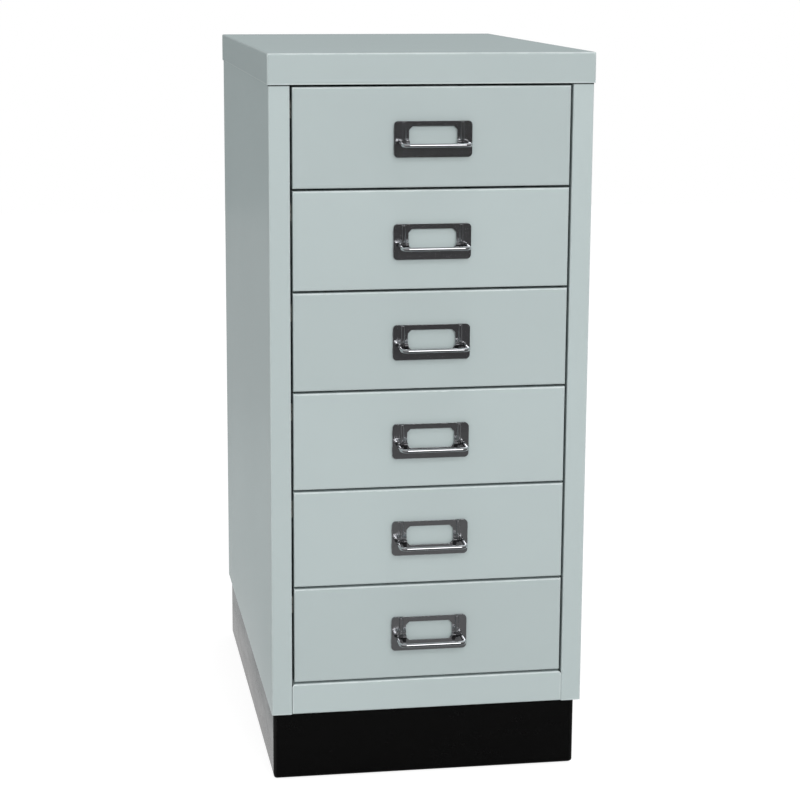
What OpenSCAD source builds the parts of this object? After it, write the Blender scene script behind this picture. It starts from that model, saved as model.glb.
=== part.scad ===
// Small steel cabinet with six equal drawers, card-frame pulls and a recessed plinth.
// Millimetres, +Z up, front towards -Y. The origin is on the floor under the middle of the outer box.

/* [Carcass] */
// Width over the top cap
cap_w = 280; // [240:1:360]
// Depth of the side panels, front face to rear face
carcass_d = 430; // [320:1:520]
// Height from the top of the plinth to the top of the cap
carcass_h = 576; // [480:1:700]
// Height of the lip round the top cap
cap_lip = 26; // [18:1:40]
// Depth of the flange turned in under the front lip
cap_return = 14; // [8:1:24]
// Thickness of the carcass and drawer steel
sheet = 1; // [0.8:0.1:1.3]
// Inside radius of the folds
bend_in = 0.6; // [0.3:0.1:1]
// Width of the front uprights
upright_w = 18; // [14:0.5:24]
// Depth of the wall turned back inside each upright
upright_return = 30; // [24:1:40]
// Height of the bottom front rail
rail_h = 27.5; // [20:0.5:40]
// Depth of the flanges behind the bottom front rail
rail_flange = 14; // [8:1:22]
// Radius of the rail's upper corners
rail_corner = 3; // [1:0.5:6]
// Seam between butted panels
seam = 0.15; // [0.05:0.05:0.3]
// Height of the upturned edges of the base pan
pan_flange = 14; // [8:1:24]
// Width of a rear runner post, front to back
post_w = 24; // [16:1:36]
// Width of the feet of a rear runner post
post_foot = 8; // [5:1:9]
// Gap between a rear runner post's foot and the back panel
post_set = 8; // [2:1:24]

/* [Plinth] */
// Height of the plinth
plinth_h = 66; // [40:1:100]
// Thickness of the plinth steel
plinth_sheet = 1.5; // [1:0.1:2]
// How far the plinth is set back from the front
plinth_front_in = 14; // [4:1:30]
// How far the plinth is set in from each side
plinth_side_in = 2.5; // [0.5:0.5:8]
// How far the plinth is set in from the rear
plinth_rear_in = 8; // [2:1:30]
// Outer radius of the plinth's bottom edge
plinth_edge = 6; // [2.5:0.5:8]
// Width of the plinth's top and bottom flanges
plinth_flange = 22; // [18:1:30]
// Diameter of the bolts between the plinth and the base pan
plinth_bolt_d = 6; // [4:1:8]
// Distance of the bolts from the front and rear faces of the carcass
plinth_bolt_set = 60; // [45:5:100]
// How far a bolt stands out past its nut
plinth_bolt_end = 2; // [1:0.5:5]

/* [Drawers] */
// Number of drawers, all the same height
drawer_count = 6; // [4:1:7]
// Gap round each drawer front
gap = 2; // [1.5:0.1:3]
// Depth of the folded pan behind a drawer front
front_depth = 12; // [9:1:16]
// Width of the flanges turned in behind a drawer front
front_flange = 13; // [11:0.5:20]
// Space between a side wall of the tray and the upright beside it
tray_side_gap = 11; // [10:0.5:16]
// Height of the tray's bottom above the lower edge of its front
tray_rise = 4; // [2:0.5:10]
// Depth of the hanger flanges below the upper edge of the front
hanger_drop = 19; // [16:1:26]
// Height of the tray's rear wall below its side walls
rear_wall_drop = 14; // [6:1:24]
// Space between the tray's rear wall and the back panel
tray_rear_gap = 24; // [10:1:60]

/* [Runners] */
// Outside height of a runner channel
runner_h = 15; // [12:0.5:18]
// Space between the pan of a drawer front and the mouth of its runners
runner_set = 8; // [7:0.5:14]
// Gap between a channel's flanges and the side of the tray
runner_lip_gap = 2; // [1:0.5:3]
// Running gap between nylon and steel
run_gap = 0.3; // [0.2:0.05:0.4]
// Length of a glide shoe on the tray
shoe_l = 18; // [12:1:30]
// Length of a front guide inside its channel
guide_l = 14; // [8:1:24]
// Thickness of the collar on a front guide
guide_collar = 1.5; // [1:0.1:2.5]
// Thickness of nylon outside the hanger flange
shoe_wall = 1.3; // [0.8:0.1:1.6]
// Diameter of the peg that locks a shoe to its flange
peg_d = 3; // [2:0.5:4]

/* [Pull] */
// Width of the card frame
plate_w = 67; // [60:1:80]
// Height of the card frame
plate_h = 30.5; // [28:0.5:40]
// Corner radius of the card frame
plate_r = 3.6; // [2:0.1:6]
// How far the card frame stands out from the drawer front
plate_out = 2.4; // [2:0.1:4]
// Thickness of the card frame's metal
plate_t = 0.9; // [0.7:0.1:1.2]
// Radius round the card frame's front edge
plate_edge = 0.4; // [0.3:0.1:1]
// How far the card frame sits below the middle of the drawer front
plate_low = 1.6; // [0:0.1:8]
// Width of the card window
window_w = 40.5; // [32:0.5:42]
// Height of the card window
window_h = 18.5; // [12:0.5:20]
// Width of the border above the card window
window_top = 4; // [3:0.5:6]
// Size of the cut corners of the card window
window_cut = 3.3; // [1:0.1:5]
// Width of the half-round ribs
rib_w = 3.6; // [2.4:0.2:5]
// Height of the tabs that pass through the drawer front
lug_h = 5; // [3:0.5:7]
// Length of those tabs where they are bent over
lug_l = 5; // [3:0.5:8]
// Height of each tab above or below the middle of the frame
lug_z = 7; // [5:0.5:8]
// Diameter of the bail's wire
wire_d = 3.2; // [2.4:0.1:4]
// Distance between the middles of the bail's arms
bail_w = 57.4; // [54:0.2:60]
// Length of the bail from its pivot to the middle of its grip
bail_reach = 17.4; // [14:0.2:26]
// Radius of the bends at the bail's grip, at the middle of the wire
bail_corner = 5; // [3:0.5:8]
// Radius of the bends beside the knuckles, at the middle of the wire
bail_elbow = 2.2; // [1.8:0.1:3]
// Angle at which the bail hangs below level when it rests on its stop
bail_drop = 6; // [0:1:20]
// How far the bail's pivot sits below the middle of the card frame
pivot_low = 2.4; // [0:0.1:5]
// Radial clearance of the wire in the knuckles
pivot_gap = 0.05; // [0.02:0.01:0.1]
// Width of a knuckle
knuckle_w = 3; // [2:0.1:4]
// Wall of a knuckle round the wire
knuckle_wall = 1.1; // [0.8:0.1:1.6]
// Width of the flattened ends that stop the bail
stop_w = 2.8; // [2:0.1:3]
// Length of the flattened ends below the pivot
stop_l = 5; // [4:0.5:6]
// Thickness of the flattened ends
stop_t = 1.4; // [1:0.1:1.8]

/* [Hidden] */
PAINT = "#b9c3c1";
PLINTH_PAINT = "#151515";
ZINC = "#a9adae";
BRIGHT = "#8b8f90";
NYLON = "#e4e2da";
arc_fn = 48;
past = 1;                       // how far a cutter runs past the face it cuts
bend_out = bend_in + sheet;
total_h = plinth_h + carcass_h;
cap_z0 = total_h - cap_lip;
roof_z = total_h - sheet;
carcass_w = cap_w - 2 * sheet;
side_in = carcass_w / 2 - sheet;          // inner face of a side panel
opening_x = carcass_w / 2 - upright_w;    // inner edge of an upright
back_y = carcass_d - 2 * sheet;           // front face of the back panel
rail_z1 = plinth_h + rail_h;

// drawers
front_w = 2 * (opening_x - gap);
front_h = (cap_z0 - rail_z1 - (drawer_count + 1) * gap) / drawer_count;
pitch = front_h + gap;
tray_y0 = front_depth;
tray_y1 = back_y - tray_rear_gap;
tray_x = opening_x - tray_side_gap;       // outer face of the tray's side wall
hanger_z1 = front_h - hanger_drop;        // top of the hanger flange, from the front's lower edge
hanger_z0 = hanger_z1 - sheet;

// runners
web_x = opening_x - sheet;                // inner face of a channel's web
lip_x = tray_x + runner_lip_gap;          // tip of a channel's flanges
shoe_x1 = web_x - run_gap;
hanger_x = shoe_x1 - shoe_wall;           // tip of the hanger flange
runner_z0 = (hanger_z0 + hanger_z1 - runner_h) / 2;
runner_z1 = runner_z0 + runner_h;
runner_y0 = front_depth + runner_set;
runner_y1 = tray_y1 + 2 * sheet;
guide_y1 = runner_y0 + guide_l;
shoe_y0 = tray_y1 - shoe_l;
shoe_nose = 2;
guide_edge = 1;

// rear posts
post_y1 = back_y - post_set - post_foot;
post_y0 = post_y1 - post_w;
post_z0 = plinth_h + pan_flange + 2 * sheet;
post_z1 = cap_z0 + cap_lip / 2;

// plinth
plinth_x = carcass_w / 2 - plinth_side_in;
plinth_y0 = plinth_front_in;
plinth_y1 = carcass_d - plinth_rear_in;
plinth_corner = 2;
bolt_x = plinth_x - plinth_sheet - plinth_flange / 2;
bolt_slack = 0.6;
head_h = 0.66 * plinth_bolt_d;
nut_h = 0.8 * plinth_bolt_d;
hex_d = 1.9 * plinth_bolt_d;
bolt_l = plinth_sheet + sheet + nut_h + plinth_bolt_end;
thread_gap = 0.05;

// pull
plate_z = front_h / 2 - plate_low;        // middle of the card frame, from the front's lower edge
wire_r = wire_d / 2;
pivot_y = plate_out + wire_r + 2 * pivot_gap;
knuckle_r = wire_r + pivot_gap + knuckle_wall;
knuckle_x1 = bail_w / 2 - bail_elbow - 2 * pivot_gap;
knuckle_x0 = knuckle_x1 - knuckle_w;
rib_x = (knuckle_x0 + knuckle_x1) / 2;
stop_x1 = knuckle_x0 - 2 * pivot_gap;
stop_x0 = stop_x1 - stop_w;
window_z = plate_h / 2 - window_top - window_h / 2;
strap_rise = 5.5;                         // height above the pivot at which a rib starts to swell
strap_foot = 4;                           // depth below the pivot at which it ends
rib_end = 1.2;                            // radius where a rib meets the upper edge
lug_slack = 0.2;
bail_out = pivot_y + bail_reach * cos(bail_drop) + wire_r;

// The outer box runs from the bail's grip to the rear lip of the cap, and is centred on the origin.
front_y = (bail_out - carcass_d - sheet) / 2;

DRAWERS = [1:drawer_count];
FIXED = ["top_cap", "left_side_panel", "right_side_panel", "back_panel", "base_pan", "front_rail",
    "left_rear_post", "right_rear_post", "left_front_guides", "right_front_guides",
    "plinth", "plinth_bolts", "plinth_nuts"];

// ---- helpers ----

module block(lo, hi) {
    translate(lo) cube(hi - lo);
}

module along_x(x0, x1) {
    translate([x0, 0, 0]) rotate([90, 0, 90]) linear_extrude(x1 - x0) children();
}

module along_y(y0, y1) {
    translate([0, y1, 0]) rotate([90, 0, 0]) linear_extrude(y1 - y0) children();
}

module along_z(z0, z1) {
    translate([0, 0, z0]) linear_extrude(z1 - z0) children();
}

module both_sides() {
    children();
    mirror([1, 0, 0]) children();
}

// Everything is drawn with Y = 0 on the carcass front, then moved so that the outer box is centred.
module placed() {
    translate([0, front_y, 0]) children();
}

// Drawer 1 is the top one. Z = 0 becomes the lower edge of its front.
module at_drawer(i) {
    translate([0, front_y, rail_z1 + gap + (drawer_count - i) * pitch]) children();
}

// Rectangle whose corners, anticlockwise from the low one, have the radii rr
module profile(lo, hi, rr) {
    corner = [lo, [hi.x, lo.y], hi, [lo.x, hi.y]];
    inward = [[1, 1], [-1, 1], [-1, -1], [1, -1]];
    polygon([for (i = [0:3]) each rr[i] == 0 ? [corner[i]] : let (
        sideways = corner[i] + [rr[i] * inward[i].x, 0],
        upright = corner[i] + [0, rr[i] * inward[i].y])
        i % 2 == 0 ? [upright, sideways] : [sideways, upright]]);
    for (i = [0:3]) {
        if (rr[i] > 0) translate(corner[i] + rr[i] * inward[i]) circle(r = rr[i], $fn = arc_fn);
    }
}

module round_rect(w, h, r) {
    profile([-w / 2, -h / 2], [w / 2, h / 2], [r, r, r, r]);
}

// ---- carcass ----

// Lid folded from one sheet, with a flange turned in under its front lip
module top_cap() {
    x = cap_w / 2;
    color(PAINT) placed() {
        difference() {
            intersection() {
                along_z(cap_z0, total_h)
                    profile([-x, -sheet], [x, carcass_d + sheet], [bend_out, bend_out, bend_out, bend_out]);
                along_y(-sheet, carcass_d + sheet)
                    profile([-x, cap_z0], [x, total_h], [0, 0, bend_out, bend_out]);
                along_x(-x, x)
                    profile([-sheet, cap_z0], [carcass_d + sheet, total_h], [0, 0, bend_out, bend_out]);
            }
            block([-carcass_w / 2, 0, cap_z0 - past], [carcass_w / 2, carcass_d, roof_z]);
        }
        block([-opening_x + seam, -sheet / 2, cap_z0], [opening_x - seam, cap_return, cap_z0 + sheet]);
    }
}

// Plan of the left side: outer wall, front upright with its return, and rear flange
module side_section() {
    lo = [-carcass_w / 2, 0];
    hi = [-opening_x, carcass_d];
    difference() {
        profile(lo, hi, [bend_out, bend_out, 0, bend_out]);
        profile(lo + [sheet, sheet], hi - [sheet, sheet], [bend_in, bend_in, 0, bend_in]);
        translate([hi.x - sheet - past / 4, upright_return]) square([upright_w, carcass_d]);
    }
}

module left_side_panel() {
    color(PAINT) placed() along_z(plinth_h, roof_z) side_section();
}

module right_side_panel() {
    color(PAINT) placed() along_z(plinth_h, roof_z) mirror([1, 0, 0]) side_section();
}

// Flat sheet held between the side panels, against their rear flanges
module back_panel() {
    x = side_in - bend_in - seam;
    color(PAINT) placed() block([-x, back_y, plinth_h], [x, back_y + sheet, roof_z]);
}

module bolt_holes() {
    for (x = [-bolt_x, bolt_x], y = [plinth_bolt_set, carcass_d - plinth_bolt_set])
        translate([x, y, plinth_h - plinth_sheet - past])
            cylinder(d = plinth_bolt_d + bolt_slack, h = plinth_sheet + sheet + 2 * past, $fn = arc_fn);
}

// Floor of the cabinet, with upturned side and rear edges and a tongue between the uprights
module base_pan() {
    z1 = plinth_h + sheet;
    y0 = upright_return + seam;
    color(PAINT) placed() difference() {
        union() {
            block([-side_in, y0, plinth_h], [side_in, back_y, z1]);
            block([-opening_x + seam, rail_flange, plinth_h], [opening_x - seam, y0, z1]);
            both_sides() block([side_in - sheet, y0, plinth_h], [side_in, back_y, plinth_h + pan_flange]);
            block([-side_in, back_y - sheet, plinth_h], [side_in, back_y, plinth_h + pan_flange]);
        }
        bolt_holes();
    }
}

// Folded rail below the lowest drawer, open at the back
module front_rail() {
    x = opening_x - seam;
    color(PAINT) placed() intersection() {
        along_x(-x, x) difference() {
            profile([0, plinth_h], [rail_flange, rail_z1], [bend_out, 0, 0, bend_out]);
            profile([sheet, plinth_h + sheet], [rail_flange + past, rail_z1 - sheet],
                [bend_in, 0, 0, bend_in]);
        }
        along_y(0, rail_flange)
            profile([-x, plinth_h], [x, rail_z1], [0, 0, rail_corner, rail_corner]);
    }
}

// Hat-section post on the left side panel that carries the rear ends of the runners
module post_section() {
    translate([-opening_x - sheet, post_y0]) square([sheet, post_w]);
    for (y = [post_y0, post_y1 - sheet])
        translate([-side_in, y]) square([side_in - opening_x, sheet]);
    for (y = [post_y0 - post_foot, post_y1 - sheet])
        translate([-side_in, y]) square([sheet, post_foot + sheet]);
}

module left_rear_post() {
    color(PAINT) placed() along_z(post_z0, post_z1) post_section();
}

module right_rear_post() {
    color(PAINT) placed() along_z(post_z0, post_z1) mirror([1, 0, 0]) post_section();
}

// ---- runners ----

// Right-hand channel, open towards the tray, with a tab that closes its rear end
module runner() {
    color(ZINC) {
        along_y(runner_y0, runner_y1) difference() {
            profile([lip_x, runner_z0], [opening_x, runner_z1], [0, bend_out, bend_out, 0]);
            profile([lip_x - past, runner_z0 + sheet], [web_x, runner_z1 - sheet], [0, bend_in, bend_in, 0]);
        }
        block([lip_x, runner_y1 - sheet, runner_z0 + sheet / 2],
            [web_x + sheet / 2, runner_y1, runner_z1 - sheet / 2]);
    }
}

module left_runner(i) {
    at_drawer(i) mirror([1, 0, 0]) runner();
}

module right_runner(i) {
    at_drawer(i) runner();
}

// Nylon block in the mouth of a right-hand channel, slotted for the hanger flange
module front_guide() {
    x0 = lip_x + seam;
    color(NYLON) difference() {
        union() {
            along_y(runner_y0 - sheet / 2, guide_y1)
                profile([x0, runner_z0 + sheet], [web_x, runner_z1 - sheet], [0, bend_in, bend_in, 0]);
            along_y(runner_y0 - guide_collar, runner_y0)
                profile([x0, runner_z0], [opening_x, runner_z1],
                    [guide_edge, bend_out, bend_out, guide_edge]);
        }
        block([x0 - past, runner_y0 - guide_collar - past, hanger_z0 - run_gap],
            [hanger_x + run_gap, guide_y1 + past, hanger_z1 + run_gap]);
    }
}

module left_front_guides() {
    for (i = DRAWERS) at_drawer(i) mirror([1, 0, 0]) front_guide();
}

module right_front_guides() {
    for (i = DRAWERS) at_drawer(i) front_guide();
}

// ---- plinth ----

// Closed box of the plinth's outline, shrunk by a wall thickness t
module plinth_form(t) {
    x = plinth_x - t;
    y0 = plinth_y0 + t;
    y1 = plinth_y1 - t;
    r = plinth_corner - t / 2;
    e = plinth_edge - t;
    intersection() {
        along_z(t, plinth_h - t) profile([-x, y0], [x, y1], [r, r, r, r]);
        along_y(y0, y1) profile([-x, t], [x, plinth_h - t], [e, e, 0, 0]);
        along_x(-x, x) profile([y0, t], [y1, plinth_h - t], [e, e, 0, 0]);
    }
}

// Folded ring with flanges turned in at its top and bottom
module plinth() {
    x = plinth_x - plinth_sheet - plinth_flange;
    inset = plinth_sheet + plinth_flange;
    color(PLINTH_PAINT) placed() difference() {
        plinth_form(0);
        plinth_form(plinth_sheet);
        block([-x, plinth_y0 + inset, -past], [x, plinth_y1 - inset, plinth_h + past]);
        bolt_holes();
    }
}

module at_bolts() {
    placed() {
        for (x = [-bolt_x, bolt_x], y = [plinth_bolt_set, carcass_d - plinth_bolt_set])
            translate([x, y, 0]) children();
    }
}

module plinth_bolts() {
    z = plinth_h - plinth_sheet;
    color(ZINC) at_bolts() {
        translate([0, 0, z - head_h]) cylinder(d = hex_d, h = head_h, $fn = 6);
        translate([0, 0, z - head_h / 2])
            cylinder(d = plinth_bolt_d, h = bolt_l + head_h / 2, $fn = arc_fn);
    }
}

module plinth_nuts() {
    color(ZINC) at_bolts() translate([0, 0, plinth_h + sheet]) difference() {
        cylinder(d = hex_d, h = nut_h, $fn = 6);
        translate([0, 0, -past])
            cylinder(d = plinth_bolt_d + 2 * thread_gap, h = nut_h + 2 * past, $fn = arc_fn);
    }
}

// ---- drawers ----

// Folded pan with its open side to the rear, slotted for the tabs of the card frame
module drawer_front(i) {
    x = front_w / 2;
    color(PAINT) at_drawer(i) difference() {
        intersection() {
            along_z(0, front_h) profile([-x, 0], [x, front_depth], [bend_out, bend_out, 0, 0]);
            along_x(-x, x) profile([0, 0], [front_depth, front_h], [bend_out, 0, 0, bend_out]);
        }
        block([-x + sheet, sheet, sheet], [x - sheet, front_depth - sheet, front_h - sheet]);
        block([-x + sheet + front_flange, sheet, sheet],
            [x - sheet - front_flange, front_depth + past, front_h - sheet]);
        at_lugs() block([-plate_t - lug_slack, -past, -lug_h / 2 - lug_slack],
            [0, sheet + past, lug_h / 2 + lug_slack]);
    }
}

// Outline of the tray's end walls, up to the height z1, reaching half way into its sides and floor
module tray_end(z1) {
    half = sheet / 2;
    profile([half - tray_x, tray_rise + half], [tray_x - half, z1], [bend_out - half, bend_out - half, 0, 0]);
}

// Folded tray with a hanger flange along the top of each side
module drawer_tray(i) {
    color(PAINT) at_drawer(i) difference() {
        union() {
            along_y(tray_y0, tray_y1) difference() {
                profile([-tray_x, tray_rise], [tray_x, hanger_z1], [bend_out, bend_out, 0, 0]);
                profile([-tray_x + sheet, tray_rise + sheet], [tray_x - sheet, hanger_z1 + past],
                    [bend_in, bend_in, 0, 0]);
            }
            along_y(tray_y0, tray_y0 + sheet) tray_end(hanger_z1);
            along_y(tray_y1 - sheet, tray_y1) tray_end(hanger_z1 - rear_wall_drop);
            both_sides() block([tray_x - sheet / 2, tray_y0, hanger_z0], [hanger_x, tray_y1, hanger_z1]);
        }
        at_pegs() translate([0, 0, -past]) cylinder(d = peg_d, h = sheet + 2 * past, $fn = arc_fn);
    }
}

module at_pegs() {
    both_sides() translate([(tray_x + hanger_x) / 2 + runner_lip_gap / 2, tray_y1 - shoe_l / 2, hanger_z0])
        children();
}

// Nylon shoes clipped over the rear ends of the hanger flanges
module drawer_glides(i) {
    z0 = runner_z0 + sheet + run_gap;
    z1 = runner_z1 - sheet - run_gap;
    x0 = lip_x + seam;
    r = shoe_nose;
    color(NYLON) at_drawer(i) {
        both_sides() difference() {
            along_x(x0, shoe_x1) profile([shoe_y0, z0], [tray_y1, z1], [r, r, r, r]);
            block([x0 - past, shoe_y0 - past, hanger_z0], [hanger_x, tray_y1 + past, hanger_z1]);
        }
        at_pegs() translate([0, 0, -sheet / 2]) cylinder(d = peg_d, h = 2 * sheet, $fn = arc_fn);
    }
}

// ---- pull ----

// Places children at the middle of the card frame, on the face of drawer i
module at_plate(i) {
    at_drawer(i) translate([0, 0, plate_z]) children();
}

// Places children at the outer face of each mounting tab, seen from the lower edge of a front
module at_lugs() {
    translate([0, 0, plate_z]) both_sides() {
        for (z = [-lug_z, lug_z]) translate([plate_w / 2, 0, z]) children();
    }
}

// Section of what is cut away to leave a radius e on an edge. Its arc stands proud of both faces
// by a small share of e, so that it crosses them and doesn't only touch them.
module edge_cut(e) {
    proud = e / 30;
    translate([proud, proud - e]) difference() {
        square([e + past, e + past]);
        circle(r = e, $fn = arc_fn);
    }
}

// Rounded slab from Y = 0 to Y = -depth, with a radius e round its front edge
module soft_slab(w, h, r, e, depth) {
    rotate([90, 0, 0]) difference() {
        linear_extrude(depth) round_rect(w, h, r);
        for (s = [0, 180]) {
            rotate(s) translate([w / 2 - e, h, depth]) rotate([90, 0, 0]) linear_extrude(2 * h) edge_cut(e);
            rotate(s) translate([-w, h / 2 - e, depth]) rotate([90, 0, 90]) linear_extrude(2 * w) edge_cut(e);
        }
        for (m = [0, 1], s = [0, 180]) {
            mirror([m, 0, 0]) rotate(s) translate([w / 2 - r, h / 2 - r, depth])
                rotate_extrude(angle = 90, $fn = arc_fn) translate([r - e, 0]) edge_cut(e);
        }
    }
}

module window_outline() {
    a = window_w / 2;
    b = window_h / 2;
    c = window_cut;
    polygon([[-a + c, -b], [a - c, -b], [a, -b + c], [a, b - c],
        [a - c, b], [-a + c, b], [-a, b - c], [-a, -b + c]]);
}

// Side view of a knuckle and of the strap that swells out of its rib and returns to the plate.
// The first coordinate is the distance in front of the drawer, the second the height above the pivot.
module strap_section() {
    polygon([[plate_out - plate_t / 2, strap_rise], [plate_out + rib_w / 2, strap_rise],
        [pivot_y + knuckle_r * cos(35), knuckle_r * sin(35)],
        [pivot_y + knuckle_r * cos(40), -knuckle_r * sin(40)],
        [plate_out, -strap_foot], [plate_out - plate_t / 2, -strap_foot]]);
    translate([pivot_y, 0]) circle(r = knuckle_r, $fn = arc_fn);
}

// Half-round rib from the right knuckle to the upper edge, rounded over where it ends
module rib() {
    intersection() {
        translate([rib_x, -plate_out, -pivot_low])
            cylinder(d = rib_w, h = plate_h / 2 + pivot_low, $fn = arc_fn);
        along_x(rib_x - rib_w, rib_x + rib_w)
            profile([-plate_out - rib_w / 2, -pivot_low], [-plate_out + plate_t / 2, plate_h / 2],
                [0, 0, 0, rib_end]);
    }
}

module knuckle() {
    translate([knuckle_x0, 0, -pivot_low]) rotate([90, 0, 90])
        linear_extrude(knuckle_w) mirror([1, 0]) strap_section();
}

// Bright frame with a card window, two ribs with knuckles at their feet, and four bent tabs.
// The card slides in from above, between the ribs.
module card_frame(i) {
    slot_x = rib_x - rib_w / 2;
    color(BRIGHT) {
        at_plate(i) difference() {
            union() {
                soft_slab(plate_w, plate_h, plate_r, plate_edge, plate_out);
                both_sides() rib();
                both_sides() knuckle();
            }
            along_y(-plate_out + plate_t, past)
                round_rect(plate_w - 2 * plate_t, plate_h - 2 * plate_t, plate_r - plate_t);
            block([-slot_x, -plate_out + plate_t, 0], [slot_x, past, plate_h]);
            along_y(-plate_out - past, past) translate([0, window_z]) window_outline();
            translate([-plate_w / 2, -pivot_y, -pivot_low]) rotate([0, 90, 0])
                cylinder(r = wire_r + pivot_gap, h = plate_w, $fn = arc_fn);
        }
        at_drawer(i) at_lugs() {
            block([seam - plate_t, -plate_out / 2, -lug_h / 2], [0, sheet + plate_t, lug_h / 2]);
            block([-lug_l, sheet, -lug_h / 2], [0, sheet + plate_t, lug_h / 2]);
        }
    }
}

// Quarter turn of wire of centre-line radius r, from angle a to a + 90 in the bail's plane
module wire_bend(r, a) {
    rotate(a) rotate_extrude(angle = 90, $fn = arc_fn) translate([r, 0]) circle(d = wire_d, $fn = 32);
}

// Right half of the bail, lying flat with its pivot on the X axis and its grip towards -Y
module bail_half() {
    arm_x = bail_w / 2;
    translate([stop_x0, 0, 0]) rotate([0, 90, 0])
        cylinder(d = wire_d, h = arm_x - bail_elbow - stop_x0, $fn = 32);
    translate([arm_x - bail_elbow, -bail_elbow, 0]) wire_bend(bail_elbow, 0);
    translate([arm_x, -bail_elbow, 0]) rotate([90, 0, 0])
        cylinder(d = wire_d, h = bail_reach - bail_corner - bail_elbow, $fn = 32);
    translate([arm_x - bail_corner, bail_corner - bail_reach, 0]) wire_bend(bail_corner, -90);
    translate([0, -bail_reach, 0]) rotate([0, 90, 0])
        cylinder(d = wire_d, h = arm_x - bail_corner, $fn = 32);
}

// Flattened end of the wire, which rests on the face of the card frame
module bail_stop() {
    along_y(wire_r - stop_t, wire_r)
        profile([stop_x0, -stop_l], [stop_x1, 0], [stop_w / 3, stop_w / 3, 0, 0]);
}

module bail(i) {
    color(BRIGHT) at_plate(i) translate([0, -pivot_y, -pivot_low]) both_sides() {
        rotate([bail_drop, 0, 0]) bail_half();
        bail_stop();
    }
}

top_cap();
left_side_panel();
right_side_panel();
back_panel();
base_pan();
front_rail();
left_rear_post();
right_rear_post();
left_front_guides();
right_front_guides();
plinth();
plinth_bolts();
plinth_nuts();
for (i = DRAWERS) {
    left_runner(i);
    right_runner(i);
    drawer_front(i);
    drawer_tray(i);
    drawer_glides(i);
    card_frame(i);
    bail(i);
}
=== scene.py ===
import math

import bmesh
import bpy
from bpy.props import FloatProperty, FloatVectorProperty, IntProperty, PointerProperty
from mathutils import Matrix, Vector


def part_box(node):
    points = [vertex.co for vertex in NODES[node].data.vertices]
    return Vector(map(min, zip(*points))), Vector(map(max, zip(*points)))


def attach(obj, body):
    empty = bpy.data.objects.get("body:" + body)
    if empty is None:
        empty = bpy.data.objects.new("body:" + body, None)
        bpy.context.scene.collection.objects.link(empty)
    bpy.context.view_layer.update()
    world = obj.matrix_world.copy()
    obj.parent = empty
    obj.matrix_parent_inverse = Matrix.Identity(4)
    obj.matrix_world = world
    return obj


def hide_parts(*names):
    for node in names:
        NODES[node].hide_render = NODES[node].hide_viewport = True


bl_info = {
    "name": "Small drawer cabinet",
    "version": (1, 0, 0),
    "blender": (4, 5, 0),
    "location": "View3D > Sidebar > Cabinet",
    "description": "Dresses a small steel drawer cabinet and builds its card frames and bails",
    "category": "Object",
}

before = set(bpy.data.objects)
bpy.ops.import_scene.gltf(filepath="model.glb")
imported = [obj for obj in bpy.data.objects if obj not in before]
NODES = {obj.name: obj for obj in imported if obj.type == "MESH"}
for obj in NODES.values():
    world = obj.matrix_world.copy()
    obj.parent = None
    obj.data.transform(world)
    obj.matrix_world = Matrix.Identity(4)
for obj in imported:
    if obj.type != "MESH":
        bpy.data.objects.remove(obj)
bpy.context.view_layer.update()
DRAWERS = sorted(int(name.split("_")[1]) for name in NODES if name.endswith("_bail"))

MM = 0.001
SHARP = math.radians(32)  # faces that meet at more than this keep a crisp edge
CUT, WELD, NEAR = 1e-7, 1e-6, 1e-5  # tolerances in metres, of a cut, a weld and a test of place
CARCASS_STEEL = (
    "top_cap", "left_side_panel", "right_side_panel", "back_panel", "base_pan",
    "front_rail", "left_rear_post", "right_rear_post",
)

# How much lighter or darker than the rest each sheet is painted, as painted light and shade that
# stands for how the sheet is lit
PAINTED_SHADE = {"top_cap": 0.93, "drawer_1_front": 0.93, "drawer_2_front": 0.985,
         "drawer_3_front": 0.965, "drawer_6_front": 0.96, "left_side_panel": 1.0,
         "right_side_panel": 1.02, "front_rail": 1.02}


def srgb(red, green, blue):
    """Linear colour, with alpha, of a colour given in 0 to 255."""
    def linear(value):
        value /= 255.0
        return value / 12.92 if value <= 0.04045 else ((value + 0.055) / 1.055) ** 2.4
    return linear(red), linear(green), linear(blue), 1.0


# ---- sizes and colours ----

def length(name, description, default):
    """Property that holds a length, with its default given in millimetres."""
    return FloatProperty(name=name, description=description, default=default * MM,
                         min=0.0, max=200 * MM, unit="LENGTH", subtype="DISTANCE", precision=5)


def colour(name, description, default):
    """Property that holds a linear colour with alpha."""
    return FloatVectorProperty(name=name, description=description, default=default, size=4,
                               min=0.0, max=1.0, subtype="COLOR")


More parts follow.
